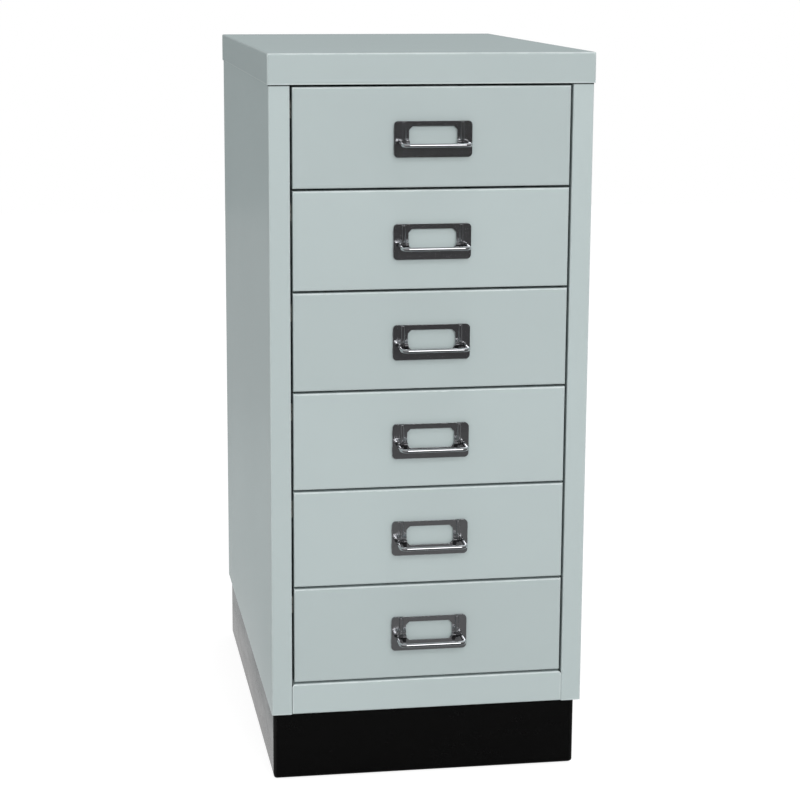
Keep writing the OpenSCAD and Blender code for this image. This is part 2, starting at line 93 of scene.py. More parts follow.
class CabinetPull(bpy.types.PropertyGroup):
    """Sizes of one card frame and its bail"""

    plate_width: length("Frame width", "Width of the card frame", 67)
    plate_height: length("Frame height", "Height of the card frame", 30.5)
    plate_corner: length("Frame corner", "Corner radius of the card frame", 3.6)
    plate_out: length("Frame depth", "How far the card frame stands out from the drawer", 2.4)
    metal: length("Metal", "Thickness of the card frame's metal", 0.9)
    edge: length("Edge radius", "Radius round the card frame's front edge", 0.08)
    window_width: length("Window width", "Width of the card window", 41.2)
    window_height: length("Window height", "Height of the card window", 17)
    window_top: length("Window border", "Width of the border above the card window", 4.3)
    window_cut: length("Window corner", "Size of the cut corners of the card window", 3)
    rib_width: length("Rib width", "Width of the half-round ribs", 3.6)
    rib_place: length("Rib place", "Distance of a rib from the middle of the frame", 24.9)
    pivot_low: length("Pivot drop", "How far the bail's pivot is below the frame's middle", 2.4)
    pivot_out: length("Pivot distance", "Distance of the bail's pivot from the drawer", 4.1)
    knuckle_radius: length("Knuckle radius", "Outer radius of a knuckle", 2.45)
    knuckle_width: length("Knuckle width", "Width of a knuckle", 3)
    rib_foot: length("Rib foot", "Depth below the pivot at which a rib ends", 4)
    wire: length("Wire", "Diameter of the bail's wire", 3.2)
    bail_width: length("Bail width", "Distance between the middles of the bail's arms", 57.2)
    bail_reach: length("Bail reach", "Length of the bail from its pivot to its grip", 20.4)
    bail_corner: length("Grip bend", "Radius of the bends at the bail's grip", 5)
    bail_elbow: length("Arm bend", "Radius of the bends beside the knuckles", 2.2)
    bail_sink: length("Bail sink", "How far the joggle in each arm lowers the bail", 1.0)
    steps: IntProperty(name="Steps", description="Number of steps in a quarter turn",
                       default=10, min=3, max=24)


class CabinetFinish(bpy.types.PropertyGroup):
    """Colours and surface qualities"""

    enamel: colour("Enamel", "Colour of the enamelled steel", srgb(185, 197, 197))
    enamel_rough: FloatProperty(name="Enamel roughness", description="Roughness of the enamel",
                                default=0.26, min=0.0, max=1.0, subtype="FACTOR")
    plinth: colour("Plinth", "Colour of the plinth's enamel", srgb(10, 10, 10))
    plinth_rough: FloatProperty(name="Plinth roughness", description="Roughness of the plinth",
                                default=0.24, min=0.0, max=1.0, subtype="FACTOR")
    zinc: colour("Zinc", "Colour of the plated runners", srgb(176, 181, 184))
    bright: colour("Bright metal", "Colour of the card frames and bails", srgb(196, 197, 200))
    nylon: colour("Nylon", "Colour of the guides and glides", srgb(228, 226, 216))
    peel: FloatProperty(name="Orange peel", description="Strength of the ripple in the enamel",
                        default=0.004, min=0.0, max=1.0, subtype="FACTOR")


class CabinetStage(bpy.types.PropertyGroup):
    """Camera, lamps and background"""

    eye: FloatVectorProperty(name="Camera", description="Place of the camera", size=3,
                             default=(-0.3214, -1.9104, 0.7190), unit="LENGTH",
                             subtype="TRANSLATION")
    turn: FloatVectorProperty(name="Camera angles", description="Yaw, pitch and roll of the camera",
                              size=3, default=[math.radians(a) for a in (8.827, 11.039, 0.148)],
                              subtype="EULER")
    lens: FloatProperty(name="Lens", description="Focal length in millimetres", default=92.62,
                        min=20.0, max=200.0)
    shift: FloatVectorProperty(name="Shift", description="Sideways and upward shift of the lens",
                               size=2, default=(0.0425, -0.0502))
    ambient: FloatProperty(name="Ambient", description="Strength of the light from all round",
                           default=0.50, min=0.0, max=2.0)
    key: FloatProperty(name="Key lamp", description="Power of the lamp above the front",
                       default=196.0, min=0.0, max=500.0, subtype="POWER")
    strip: FloatProperty(name="Strip lamp", description="Power of the long lamp overhead",
                         default=16.0, min=0.0, max=200.0, subtype="POWER")


# ---- materials ----

class Graph:
    """Short way to add and join the nodes of one tree.

    A socket is given by its name, with _ for a space, or by its number after an i."""

    def __init__(self, tree):
        self.tree = tree

    def add(self, kind, settings=None, **inputs):
        node = self.tree.nodes.new(kind)
        for name, value in (settings or {}).items():
            setattr(node, name, value)
        for name, value in inputs.items():
            self.put(node, name.replace("_", " "), value)
        return node

    def put(self, node, name, value):
        socket = node.inputs[int(name[1:]) if name[0] == "i" and name[1:].isdigit() else name]
        if isinstance(value, bpy.types.NodeSocket):
            self.tree.links.new(value, socket)
        else:
            socket.default_value = value

    def math(self, operation, a, b=0.0, clamp=False):
        node = self.add("ShaderNodeMath", {"operation": operation, "use_clamp": clamp}, i0=a, i1=b)
        return node.outputs[0]

    def vector(self, operation, a, b=(0, 0, 0)):
        node = self.add("ShaderNodeVectorMath", {"operation": operation}, i0=a, i1=b)
        return node.outputs[0]

    def noise(self, where, scale, detail=2.0, roughness=0.5):
        """Noise with about this many patches in a metre."""
        node = self.add("ShaderNodeTexNoise", Vector=where, Scale=scale, Detail=detail,
                        Roughness=roughness)
        return node.outputs["Fac"]

    def ramp(self, value, low, high, to_low=0.0, to_high=1.0):
        """Smooth step from to_low, where the value is low, to to_high, where it is high."""
        node = self.add("ShaderNodeMapRange", {"interpolation_type": "SMOOTHSTEP"}, Value=value,
                        From_Min=low, From_Max=high, To_Min=to_low, To_Max=to_high)
        return node.outputs["Result"]

    def blend(self, factor, a, b):
        node = self.add("ShaderNodeMix", {"data_type": "RGBA"}, i0=factor, i6=a, i7=b)
        return node.outputs[2]

    def mix(self, factor, a, b):
        node = self.add("ShaderNodeMix", {"data_type": "FLOAT"}, i0=factor, i2=a, i3=b)
        return node.outputs[0]

    def scaled(self, where, scale):
        return self.add("ShaderNodeMapping", Vector=where, Scale=scale).outputs[0]

    def axes(self, where):
        return self.add("ShaderNodeSeparateXYZ", Vector=where).outputs

    def shader(self, kind, **inputs):
        return self.add("ShaderNode" + kind, **inputs).outputs[0]

    def finish(self, shader, kind="Material"):
        self.add("ShaderNodeOutput" + kind, Surface=shader)


def group(name, inputs, outputs, build):
    """Node group made once: inputs and outputs are (name, socket kind, default) rows."""
    if name in bpy.data.node_groups:
        return bpy.data.node_groups[name]
    tree = bpy.data.node_groups.new(name, "ShaderNodeTree")
    for label, kind, default in inputs:
        socket = tree.interface.new_socket(name=label, in_out="INPUT", socket_type=kind)
        socket.default_value = default
    for label, kind in outputs:
        tree.interface.new_socket(name=label, in_out="OUTPUT", socket_type=kind)
    graph = Graph(tree)
    build(graph, tree.nodes.new("NodeGroupInput").outputs, tree.nodes.new("NodeGroupOutput"))
    return tree


VEC, NUM = "NodeSocketVector", "NodeSocketFloat"


def sheet_edges():
    """How near a point is to an edge of the box that holds a folded sheet."""
    def build(g, given, result):
        low = g.vector("SUBTRACT", given["Vector"], given["Low"])
        high = g.vector("SUBTRACT", given["High"], given["Vector"])
        near = g.axes(g.vector("MINIMUM", low, high))
        pairs = [g.math("MAXIMUM", near[a], near[b]) for a, b in ((0, 1), (1, 2), (0, 2))]
        second = g.math("MINIMUM", g.math("MINIMUM", pairs[0], pairs[1]), pairs[2])
        speck = g.noise(given["Vector"], 90.0, 3.0)
        uneven = g.math("MULTIPLY", given["Width"], g.ramp(speck, 0.3, 0.7, 0.8, 1.2))
        mask = g.math("SUBTRACT", 1.0, g.math("DIVIDE", second, uneven), clamp=True)
        g.put(result, "Mask", mask)
    return group("Sheet edges", [("Vector", VEC, (0, 0, 0)), ("Low", VEC, (0, 0, 0)),
                                 ("High", VEC, (0, 0, 0)), ("Width", NUM, 0.002)],
                 [("Mask", NUM)], build)


def paint_film():
    """Ripple and slight unevenness of sprayed enamel."""
    def build(g, given, result):
        fine = g.noise(given["Vector"], 520.0, 2.0)
        broad = g.noise(given["Vector"], 130.0, 1.0)
        g.put(result, "Height", g.math("ADD", fine, g.math("MULTIPLY", broad, 0.8)))
        cloud = g.noise(given["Vector"], 5.0, 3.0, 0.55)
        g.put(result, "Cloud", g.ramp(cloud, 0.3, 0.7, -1.0, 1.0))
        grit = g.noise(given["Vector"], 260.0, 2.0, 0.6)
        g.put(result, "Grit", g.ramp(grit, 0.35, 0.65, -1.0, 1.0))
    return group("Paint film", [("Vector", VEC, (0, 0, 0))],
                 [("Height", NUM), ("Cloud", NUM), ("Grit", NUM)], build)


def handling():
    """Fine rubbed lines and soft smears left by use."""
    def build(g, given, result):
        along = g.scaled(given["Vector"], given["Stretch"])
        lines = g.noise(along, 900.0, 2.0, 0.6)
        patch = g.noise(given["Vector"], 22.0, 3.0)
        mask = g.math("MULTIPLY", g.ramp(lines, 0.58, 0.72), g.ramp(patch, 0.42, 0.68))
        g.put(result, "Lines", mask)
        g.put(result, "Smear", g.ramp(g.noise(along, 60.0, 4.0, 0.6), 0.35, 0.7))
    return group("Handling", [("Vector", VEC, (0, 0, 0)), ("Stretch", VEC, (1, 1, 1))],
                 [("Lines", NUM), ("Smear", NUM)], build)


def shaded(tone, factor):
    """The same colour made lighter or darker."""
    return tuple(min(1.0, c * factor) for c in tone[:3]) + (1.0,)


def new_material(name):
    """Empty material, the graph of its nodes and the place on the object."""
    material = bpy.data.materials.new(name)
    material.use_nodes = True
    material.node_tree.nodes.clear()
    g = Graph(material.node_tree)
    where = g.add("ShaderNodeTexCoord").outputs["Object"]
    return material, g, where


def place_group(g, tree, **inputs):
    """Puts a node group in a graph and returns its outputs."""
    node = g.add("ShaderNodeGroup")
    node.node_tree = tree
    for name, value in inputs.items():
        g.put(node, name, value)
    return node.outputs


def finish_surface(g, base, rough, height, strength, distance, fixed):
    """Principled surface fed by a base colour, a roughness and a bump height."""
    shader = g.add("ShaderNodeBsdfPrincipled", Base_Color=base, Roughness=rough)
    for name, value in fixed.items():
        shader.inputs[name].default_value = value
    bump = g.add("ShaderNodeBump", Strength=strength, Distance=distance, Height=height)
    g.put(shader, "Normal", bump.outputs[0])
    g.finish(shader.outputs[0])


def enamel(finish, name, low, high, shade_tint=1.0, lip=None):
    """Satin enamel over a folded sheet that fills the box from low to high.

    Its edges are painted paler, partly as edge wear and partly as a painted highlight, and the
    upper front one most of all, which is a painted highlight. Where a cap rests on the sheet, lip
    is the height of the cap's lower edge, and the front has a painted shadow, a dark band, just
    below it."""
    edge_colour, lip_shadow_colour = srgb(236, 243, 243), srgb(38, 42, 42)
    edge_wear_and_highlight_share, top_edge_highlight_share = 0.3, 0.8
    lip_shadow_share_beside, lip_shadow_share_front = 0.08, 0.9
    material, g, where = new_material(name)
    film = place_group(g, paint_film(), Vector=where)
    edges = place_group(g, sheet_edges(), Vector=where, Low=low, High=high, Width=1.4 * MM)
    place = g.axes(where)
    front = g.ramp(place["Y"], low.y + 2 * MM, low.y + 4 * MM, 1.0, 0.0)
    top = g.math("MULTIPLY", front, g.ramp(place["Z"], high.z - 4 * MM, high.z - 2 * MM))
    # Painted light and shade: each sheet's enamel is made lighter or darker for how that sheet is
    # lit
    plain = shaded(finish.enamel, shade_tint)
    base = g.blend(g.ramp(film["Cloud"], -1.0, 1.0, 0.0, 0.28), plain, shaded(plain, 0.93))
    # Painted highlight along the edges, with some edge wear in it, strongest on the upper front
    # edge
    share = g.mix(top, edge_wear_and_highlight_share, top_edge_highlight_share)
    base = g.blend(g.math("MULTIPLY", edges["Mask"], share), base, edge_colour)
    # Painted shadow: a dark band just under the cap's lip, strong on the front and faint on the
    # sides
    if lip is not None:
        share = g.mix(front, lip_shadow_share_beside, lip_shadow_share_front)
        lip_shadow = g.ramp(place["Z"], lip - 1.4 * MM, lip - 1.0 * MM)
        base = g.blend(g.math("MULTIPLY", lip_shadow, share), base, lip_shadow_colour)
    rough = g.math("ADD", finish.enamel_rough, g.math("MULTIPLY", film["Cloud"], 0.01))
    finish_surface(g, base, rough, film["Height"], finish.peel, 0.4 * MM, {"IOR": 1.45})
    return material


def plinth_enamel(finish, low, high):
    """Black enamel with rubbed edges, fine lines along it and some dust at its foot."""
    line_colour, edge_colour, dust_colour = srgb(74, 73, 71), srgb(62, 62, 61), srgb(120, 116, 110)
    material, g, where = new_material("plinth_enamel")
    film = place_group(g, paint_film(), Vector=where)
    edges = place_group(g, sheet_edges(), Vector=where, Low=low, High=high, Width=3 * MM)
    touch = place_group(g, handling(), Vector=where, Stretch=(0.2, 0.2, 1.0))
    foot = g.ramp(g.axes(where)["Z"], 0.0, 22 * MM, 1.0, 0.0)
    dust = g.math("MULTIPLY", foot, touch["Smear"])
    base = g.blend(g.math("MULTIPLY", touch["Lines"], 0.06), tuple(finish.plinth), line_colour)
    base = g.blend(g.math("MULTIPLY", edges["Mask"], 0.35), base, edge_colour)
    base = g.blend(g.math("MULTIPLY", dust, 0.003), base, dust_colour)
    rough = g.math("ADD", finish.plinth_rough, g.math("MULTIPLY", film["Grit"], 0.01))
    rough = g.math("ADD", rough, g.math("MULTIPLY", touch["Smear"], 0.03))
    finish_surface(g, base, rough, film["Height"], 0.01, 0.4 * MM,
                   {"IOR": 1.5, "Specular IOR Level": 0.2})
    return material


def plated_zinc(finish):
    """Dull zinc with crystals, blue and yellow clouds, and marks along the travel."""
    blue_cloud, yellow_cloud = srgb(150, 158, 168), srgb(188, 180, 158)
    line_colour = srgb(214, 217, 219)
    material, g, where = new_material("plated_zinc")
    touch = place_group(g, handling(), Vector=where, Stretch=(1.0, 0.06, 1.0))
    cells = g.add("ShaderNodeTexVoronoi", Vector=where, Scale=240.0)
    flake = g.ramp(cells.outputs["Distance"], 0.0, 0.9, -1.0, 1.0)
    blue = g.ramp(g.noise(where, 26.0, 3.0), 0.35, 0.7, 0.0, 0.35)
    yellow = g.ramp(g.noise(where, 11.0), 0.5, 0.75, 0.0, 0.22)
    base = g.blend(blue, tuple(finish.zinc), blue_cloud)
    base = g.blend(yellow, base, yellow_cloud)
    base = g.blend(g.math("MULTIPLY", touch["Lines"], 0.35), base, line_colour)
    rough = g.math("ADD", 0.34, g.math("MULTIPLY", flake, 0.05))
    rough = g.math("SUBTRACT", rough, g.math("MULTIPLY", touch["Lines"], 0.12))
    drawn = g.noise(g.scaled(where, (1.0, 0.05, 1.0)), 700.0)
    height = g.math("ADD", drawn, g.math("MULTIPLY", flake, 0.2))
    finish_surface(g, base, rough, height, 0.08, 0.2 * MM, {"Metallic": 0.9})
    return material


def nylon(finish):
    """Moulded nylon with dark marks along the travel."""
    cloud_colour, line_colour = srgb(214, 210, 196), srgb(150, 148, 142)
    material, g, where = new_material("nylon")
    touch = place_group(g, handling(), Vector=where, Stretch=(1.0, 0.08, 1.0))
    cloud = g.ramp(g.noise(where, 90.0, 3.0), 0.3, 0.7, 0.0, 0.35)
    base = g.blend(cloud, tuple(finish.nylon), cloud_colour)
    base = g.blend(g.math("MULTIPLY", touch["Lines"], 0.5), base, line_colour)
    rough = g.math("ADD", 0.42, g.math("MULTIPLY", touch["Smear"], 0.12))
    finish_surface(g, base, rough, g.noise(where, 1100.0), 0.06, 0.2 * MM, {"IOR": 1.53})
    return material


def bright_metal(finish, name, low, high, polish, ripple, upward_shade, bright_to, dark_from):
    """Polished plating with hairline marks, in a box from low to high.

    Polish is its roughness and ripple the strength of its waves. The amount after ripple is a
    painted shade: how far the faces that look up are painted darker, so that they reflect less of
    the light above. Along Y, the plating is painted darker from bright_to until dark_from, a
    painted shade that dims glints."""
    edge_colour, painted_shade_colour = srgb(226, 226, 228), srgb(84, 84, 86)
    material, g, where = new_material(name)
    touch = place_group(g, handling(), Vector=where, Stretch=(0.12, 1.0, 1.0))
    edges = place_group(g, sheet_edges(), Vector=where, Low=low, High=high, Width=0.8 * MM)
    cloud = g.ramp(g.noise(where, 140.0, 3.0, 0.6), 0.35, 0.75, 0.0, 0.4)
    base = g.blend(cloud, tuple(finish.bright), shaded(finish.bright, 0.84))
    base = g.blend(g.math("MULTIPLY", edges["Mask"], 0.15), base, edge_colour)
    # Painted shade: faces that look up are painted darker, so that they reflect less of the bright
    # light above
    facing = g.axes(g.add("ShaderNodeNewGeometry").outputs["Normal"])
    upward_shade_mask = g.math("MULTIPLY", g.ramp(facing["Z"], 0.15, 0.75), upward_shade)
    # Painted shade along Y that dims glints: on a frame the knuckle beads in front of the pivot, on
    # a bail the arms and bends near the pivot
    glint_shade = g.ramp(g.axes(where)["Y"], bright_to, dark_from)
    base = g.blend(g.math("MAXIMUM", glint_shade, upward_shade_mask), base, painted_shade_colour)
    rough = g.math("ADD", polish, g.math("MULTIPLY", touch["Smear"], 0.03))
    rough = g.math("ADD", rough, g.math("MULTIPLY", touch["Lines"], 0.07))
    height = g.math("ADD", g.noise(where, 75.0, 1.0), g.math("MULTIPLY", touch["Lines"], 0.02))
    finish_surface(g, base, rough, height, ripple, 0.3 * MM, {"Metallic": 1.0})
    return material


def coat(node, material):
    """Gives every material slot of a carried-over solid one material."""
    slots = NODES[node].material_slots
    if not slots:
        raise RuntimeError(f"{node} has no material slot to fill")
    for slot in slots:
        slot.material = material


# ---- mesh helpers ----

def bevel(bm, edges, offset, segments, affect="EDGES"):
    """Round bevel of edges, or of corners when affect is VERTICES."""
    return bmesh.ops.bevel(bm, geom=edges, offset=offset, segments=segments, profile=0.5,
                           affect=affect, material=-1, offset_type="OFFSET")


def rounded_panel(bm, width, height, corner, segments, y):
    """Flat face square to Y, with its corners rounded, or cut when segments is 1."""
    corners = [bm.verts.new((sx * width / 2, y, sz * height / 2))
               for sx, sz in ((-1, -1), (1, -1), (1, 1), (-1, 1))]
    bm.faces.new(corners)
    made = bevel(bm, corners, corner, segments, affect="VERTICES")
    verts = set(made["verts"]) | {v for v in corners if v.is_valid}
    return max((f for f in bm.faces if all(v in verts for v in f.verts)),
               key=lambda f: f.calc_area())


def open_rim(bm, face):
    """Takes a face away and returns the edges round it."""
    rim = list(face.edges)
    bmesh.ops.delete(bm, geom=[face], context="FACES_ONLY")
    return rim


def everything(bm):
    """All parts of a bmesh, in the form its operators take."""
    return bm.verts[:] + bm.edges[:] + bm.faces[:]


def unique(items):
    """Each item once, in the order given, which a set wouldn't keep."""
    return list(dict.fromkeys(items))


def push_edges(bm, edges, offset):
    """Extrudes edges and returns the edges at the far end."""
    made = bmesh.ops.extrude_edge_only(bm, edges=edges)["geom"]
    verts = [v for v in made if isinstance(v, bmesh.types.BMVert)]
    bmesh.ops.translate(bm, verts=verts, vec=offset)
    fresh = set(verts)
    return [e for e in made if isinstance(e, bmesh.types.BMEdge)
            and e.verts[0] in fresh and e.verts[1] in fresh]


def box_part(bm, low, high, radius):
    """Block from low to high with rounded edges."""
    low, high = Vector(low), Vector(high)
    made = bmesh.ops.create_cube(bm, size=1.0)["verts"]
    bmesh.ops.scale(bm, vec=high - low, verts=made)
    bmesh.ops.translate(bm, vec=(low + high) / 2, verts=made)
    edges = unique(e for v in made for e in v.link_edges)
    bevel(bm, edges, radius, segments=3)


def add_copy(target, source):
    """Moves all of one bmesh into another."""
    mesh = bpy.data.meshes.new("part")
    source.to_mesh(mesh)
    source.free()
    target.from_mesh(mesh)
    bpy.data.meshes.remove(mesh)


def in_order(bm):
    """The same mesh with its corners and faces sorted by place.

    The mesh operators leave them in an order that changes from run to run."""
    def spot(point, digits):
        return tuple(round(c, digits) for c in point)

    def place(vert):
        around = sum((face.calc_center_median() for face in vert.link_faces), Vector())
        return spot(vert.co, 7), spot(around, 5)

    verts = sorted(bm.verts, key=place)
    number = {vert: i for i, vert in enumerate(verts)}
    loops = []
    for face in bm.faces:
        loop = [number[vert] for vert in face.verts]
        first = loop.index(min(loop))
        loops.append(loop[first:] + loop[:first])
    ordered = bmesh.new()
    corners = [ordered.verts.new(vert.co) for vert in verts]
    for loop in sorted(loops):
        ordered.faces.new([corners[i] for i in loop])
    bm.free()
    return ordered


def finish_piece(bm, name, material, body, node):
    """Turns a bmesh into a piece that rides on a body and stands for a CAD node."""
    bm = in_order(bm)
    bm.normal_update()
    for face in bm.faces:
        face.smooth = True
    for edge in bm.edges:
        edge.smooth = len(edge.link_faces) == 2 and edge.calc_face_angle(0.0) < SHARP
    mesh = bpy.data.meshes.new(name)
    bm.to_mesh(mesh)
    bm.free()
    piece = bpy.data.objects.new(name, mesh)
    bpy.context.scene.collection.objects.link(piece)
    mesh.materials.append(material)
    weighted = piece.modifiers.new("Even shading", "WEIGHTED_NORMAL")
    weighted.keep_sharp = True
    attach(piece, body)
    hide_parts(node)


def pull_origin(drawer, size):
    """Middle of the card frame of a drawer, on the drawer's face."""
    low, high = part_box(f"drawer_{drawer}_card_frame")
    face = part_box(f"drawer_{drawer}_front")[0].y
    return Vector(((low.x + high.x) / 2, face, high.z - size.plate_height / 2))


# ---- card frame ----

def frame_sheet(size):
    """Front sheet of the frame with its window and its rolled edge."""
    bm = bmesh.new()
    front, back = -size.plate_out, -size.plate_out + size.metal
    outer = rounded_panel(bm, size.plate_width, size.plate_height, size.plate_corner,
                          size.steps, front)
    outer_rim = open_rim(bm, outer)
    lift = size.plate_height / 2 - size.window_top - size.window_height / 2
    window = rounded_panel(bm, size.window_width, size.window_height, size.window_cut, 1, front)
    bmesh.ops.translate(bm, verts=window.verts, vec=(0, 0, lift))
    window_rim = open_rim(bm, window)
    bmesh.ops.bridge_loops(bm, edges=outer_rim + window_rim)
    outer_back = push_edges(bm, outer_rim, (0, back - front, 0))
    window_back = push_edges(bm, window_rim, (0, back - front, 0))
    bmesh.ops.bridge_loops(bm, edges=outer_back + window_back)
    bmesh.ops.recalc_face_normals(bm, faces=bm.faces)
    bevel(bm, outer_rim, min(size.edge, 0.9 * size.metal), segments=5)
    bevel(bm, [e for e in window_rim if e.is_valid], 0.08 * size.metal, segments=2)
    return bm


def frame_wall(size):
    """Wall from the front sheet back to the drawer, open at the top between the ribs."""
    bm = bmesh.new()
    back = -size.plate_out + size.metal
    panel = rounded_panel(bm, size.plate_width, size.plate_height, size.plate_corner,
                          size.steps, back)
    opening = size.rib_place - size.rib_width / 2
    for side in (-1, 1):
        bmesh.ops.bisect_plane(bm, geom=everything(bm), dist=CUT,
                               plane_co=(side * opening, 0, 0), plane_no=(1, 0, 0))
    rim = [e for e in bm.edges if len(e.link_faces) == 1]
    top = size.plate_height / 2 - NEAR
    kept = [e for e in rim if not (min(v.co.z for v in e.verts) > top
            and max(abs(v.co.x) for v in e.verts) < opening + NEAR)]
    bmesh.ops.delete(bm, geom=bm.faces[:], context="FACES_ONLY")
    bmesh.ops.delete(bm, geom=[e for e in bm.edges if e not in set(kept)], context="EDGES")
    push_edges(bm, bm.edges[:], (0, -back, 0))
    bmesh.ops.recalc_face_normals(bm, faces=bm.faces)
    # The wall is open, so its faces are turned by where they look from the frame's middle
    outward = sum(f.normal.dot(f.calc_center_median().xz.to_3d().xzy) for f in bm.faces)
    if outward < 0:
        bmesh.ops.reverse_faces(bm, faces=bm.faces)
    bmesh.ops.solidify(bm, geom=bm.faces[:], thickness=size.metal)
    return bm


def frame_rib(size):
    """Half-round rib behind the right knuckle, domed at both ends."""
    bm = bmesh.new()
    radius = size.rib_width / 2
    low, high = -size.pivot_low - size.rib_foot, size.plate_height / 2
    made = bmesh.ops.create_cone(bm, cap_ends=True, cap_tris=False, segments=4 * size.steps,
                                 radius1=radius, radius2=radius, depth=high - low)["verts"]
    bmesh.ops.translate(bm, verts=made, vec=(size.rib_place, -size.plate_out, (low + high) / 2))
    ends = [f for f in bm.faces if abs(f.normal.z) > 0.99]
    bevel(bm, unique(e for f in ends for e in f.edges), 0.6 * radius, segments=5)
    cut = bmesh.ops.bisect_plane(bm, geom=everything(bm), dist=CUT,
                                 plane_co=(0, -size.plate_out + size.metal / 2, 0),
                                 plane_no=(0, 1, 0), clear_outer=True)
    edges = [e for e in cut["geom_cut"] if isinstance(e, bmesh.types.BMEdge)]
    bmesh.ops.edgeloop_fill(bm, edges=edges)
    return bm


def frame_knuckle(size):
    """Rounded bead that closes round the bail's pivot in front of the rib."""
    bm = bmesh.new()
    bead = bmesh.ops.create_uvsphere(bm, u_segments=4 * size.steps, v_segments=2 * size.steps,
                                     radius=1.0)["verts"]
    bmesh.ops.rotate(bm, verts=bead, cent=(0, 0, 0), matrix=Matrix.Rotation(math.pi / 2, 3, "Y"))
    bmesh.ops.scale(bm, verts=bead, vec=(0.56 * size.knuckle_width, size.knuckle_radius,
                                         size.knuckle_radius))
    bmesh.ops.translate(bm, verts=bead, vec=(size.rib_place, -size.pivot_out, -size.pivot_low))
    return bm


def frame_tabs(bm, size):
    """Four tabs that pass through the drawer front and are bent over behind it."""
    half = size.plate_width / 2
    tab_height, half_tab, tab_back = 7 * MM, 2.5 * MM, 1.9 * MM
    # Reach in from the side, place of the front and radius of the edges
    leg = 0.75 * MM, -size.plate_out / 2, 0.2 * MM
    foot = 5 * MM, 1.05 * MM, 0.3 * MM
    for side in (-1, 1):
        for z in (-tab_height, tab_height):
            for reach, front, radius in (leg, foot):
                inner, outer = sorted((side * (half - reach), side * half))
                box_part(bm, (inner, front, z - half_tab), (outer, tab_back, z + half_tab),
                         radius)


def build_card_frame(size):
    """Card frame with its middle at the origin and its back on the plane where y is 0."""
    bm = frame_sheet(size)
    add_copy(bm, frame_wall(size))
    right = frame_rib(size)
    add_copy(right, frame_knuckle(size))
    bmesh.ops.mirror(right, geom=everything(right), matrix=Matrix.Identity(4), merge_dist=0.0,
                     axis="X")
    bmesh.ops.recalc_face_normals(right, faces=right.faces)
    add_copy(bm, right)
    frame_tabs(bm, size)
    return bm


# ---- bail ----

def build_bail(size):
    """Wire bent from a knuckle, out, down in a short joggle, forward to the grip, and back.

    At each end, just inside the knuckle, a flat stop limits how far the bail drops."""
    bm = bmesh.new()
    arm, elbow, corner = size.bail_width / 2, size.bail_elbow, size.bail_corner
    stop_width, stop_depth, stop_edge = 2.8 * MM, 1.4 * MM, 0.45 * MM
    stop_foot, stop_top, stop_gap = -5 * MM, 0.4 * MM, 0.1 * MM
    start = size.rib_place - size.knuckle_width / 2 - stop_gap - stop_width
    ring = bmesh.ops.create_circle(bm, cap_ends=True, segments=20, radius=size.wire / 2,
                                   matrix=Matrix.Rotation(math.pi / 2, 4, "Y"))["verts"]
    bmesh.ops.translate(bm, verts=ring, vec=(start, 0, 0))

    def turn(edges, centre, axis=(0, 0, 1), angle=-math.pi / 2):
        made = bmesh.ops.spin(bm, geom=edges, cent=centre, axis=axis, angle=angle,
                              steps=size.steps, use_merge=False)["geom_last"]
        return [e for e in made if isinstance(e, bmesh.types.BMEdge)]

    tilt = math.acos(1 - size.bail_sink / (2 * elbow))
    ahead = elbow + 2 * elbow * math.sin(tilt)
    edges = push_edges(bm, bm.edges[:], (arm - elbow - start, 0, 0))
    edges = turn(edges, (arm - elbow, -elbow, 0))
    edges = turn(edges, (arm, -elbow, -elbow), (1, 0, 0), tilt)
    edges = turn(edges, (arm, -ahead, elbow - size.bail_sink), (1, 0, 0), -tilt)
    edges = push_edges(bm, edges, (0, ahead - size.bail_reach + corner, 0))
    edges = turn(edges, (arm - corner, corner - size.bail_reach, -size.bail_sink))
    push_edges(bm, edges, (corner - arm, 0, 0))
    bmesh.ops.mirror(bm, geom=everything(bm), matrix=Matrix.Identity(4), merge_dist=NEAR,
                     axis="X")
    bmesh.ops.remove_doubles(bm, verts=bm.verts, dist=WELD)
    bmesh.ops.recalc_face_normals(bm, faces=bm.faces)
    for side in (-1, 1):
        low, high = sorted((side * start, side * (start + stop_width)))
        box_part(bm, (low, size.wire / 2 - stop_depth, stop_foot),
                 (high, size.wire / 2, stop_top), stop_edge)
    bmesh.ops.translate(bm, verts=bm.verts, vec=(0, -size.pivot_out, -size.pivot_low))
    return bm


# ---- operators ----

class CABINET_OT_enamel(bpy.types.Operator):
    """Coats the sheets of the carcass, the drawer fronts and the trays with satin enamel"""

    bl_idname = "cabinet.enamel"
    bl_label = "Enamel the sheet steel"

    def execute(self, context):
        finish = context.scene.cabinet_finish
        names = list(CARCASS_STEEL)
        names += [f"drawer_{i}_{part}" for i in DRAWERS for part in ("front", "tray")]
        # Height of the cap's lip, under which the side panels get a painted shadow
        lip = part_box("top_cap")[0].z
        for name in names:
            # Each sheet gets its painted light and shade tint, and the side panels a painted shadow
            # under the cap's lip
            coat(name, enamel(finish, f"enamel_{name}", *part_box(name), PAINTED_SHADE.get(name, 1.0),
                              lip if name.endswith("side_panel") else None))
        return {"FINISHED"}


class CABINET_OT_plinth(bpy.types.Operator):
    """Coats the plinth with gloss black enamel"""

    bl_idname = "cabinet.plinth"
    bl_label = "Finish the plinth"

    def execute(self, context):
        coat("plinth", plinth_enamel(context.scene.cabinet_finish, *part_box("plinth")))
        return {"FINISHED"}


